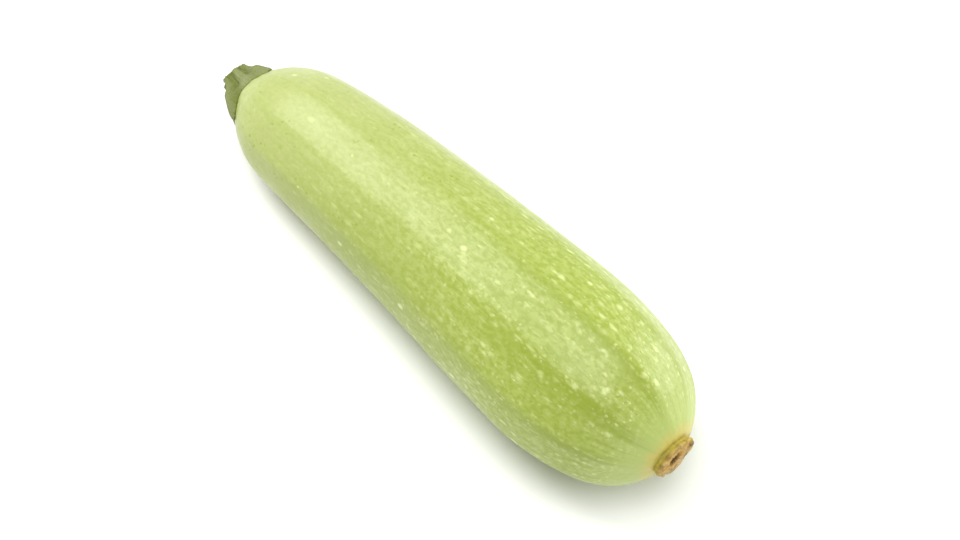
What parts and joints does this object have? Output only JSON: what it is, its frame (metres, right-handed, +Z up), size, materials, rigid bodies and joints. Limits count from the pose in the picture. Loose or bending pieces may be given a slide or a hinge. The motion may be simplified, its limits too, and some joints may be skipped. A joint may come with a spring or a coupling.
{
  "type": "courgette",
  "caption": "Pale green courgette lying on its side, club-shaped and faintly ribbed, with a cut flared stem at the thin end and a corky blossom scar at the thick end.",
  "frame": {"origin": "under the middle of the whole, in the plane that the fruit rests on", "axes": "+X along the fruit from the stem to the blossom scar, +Z up"},
  "size_m": [0.2346, 0.0694, 0.0686],
  "materials": {
    "skin": "gloss",
    "stem": "matte",
    "scar": "matte"
  },
  "bodies": {
    "root": {"fruit": "skin", "stem": "stem", "blossom_scar": "scar"}
  },
  "joints": []
}
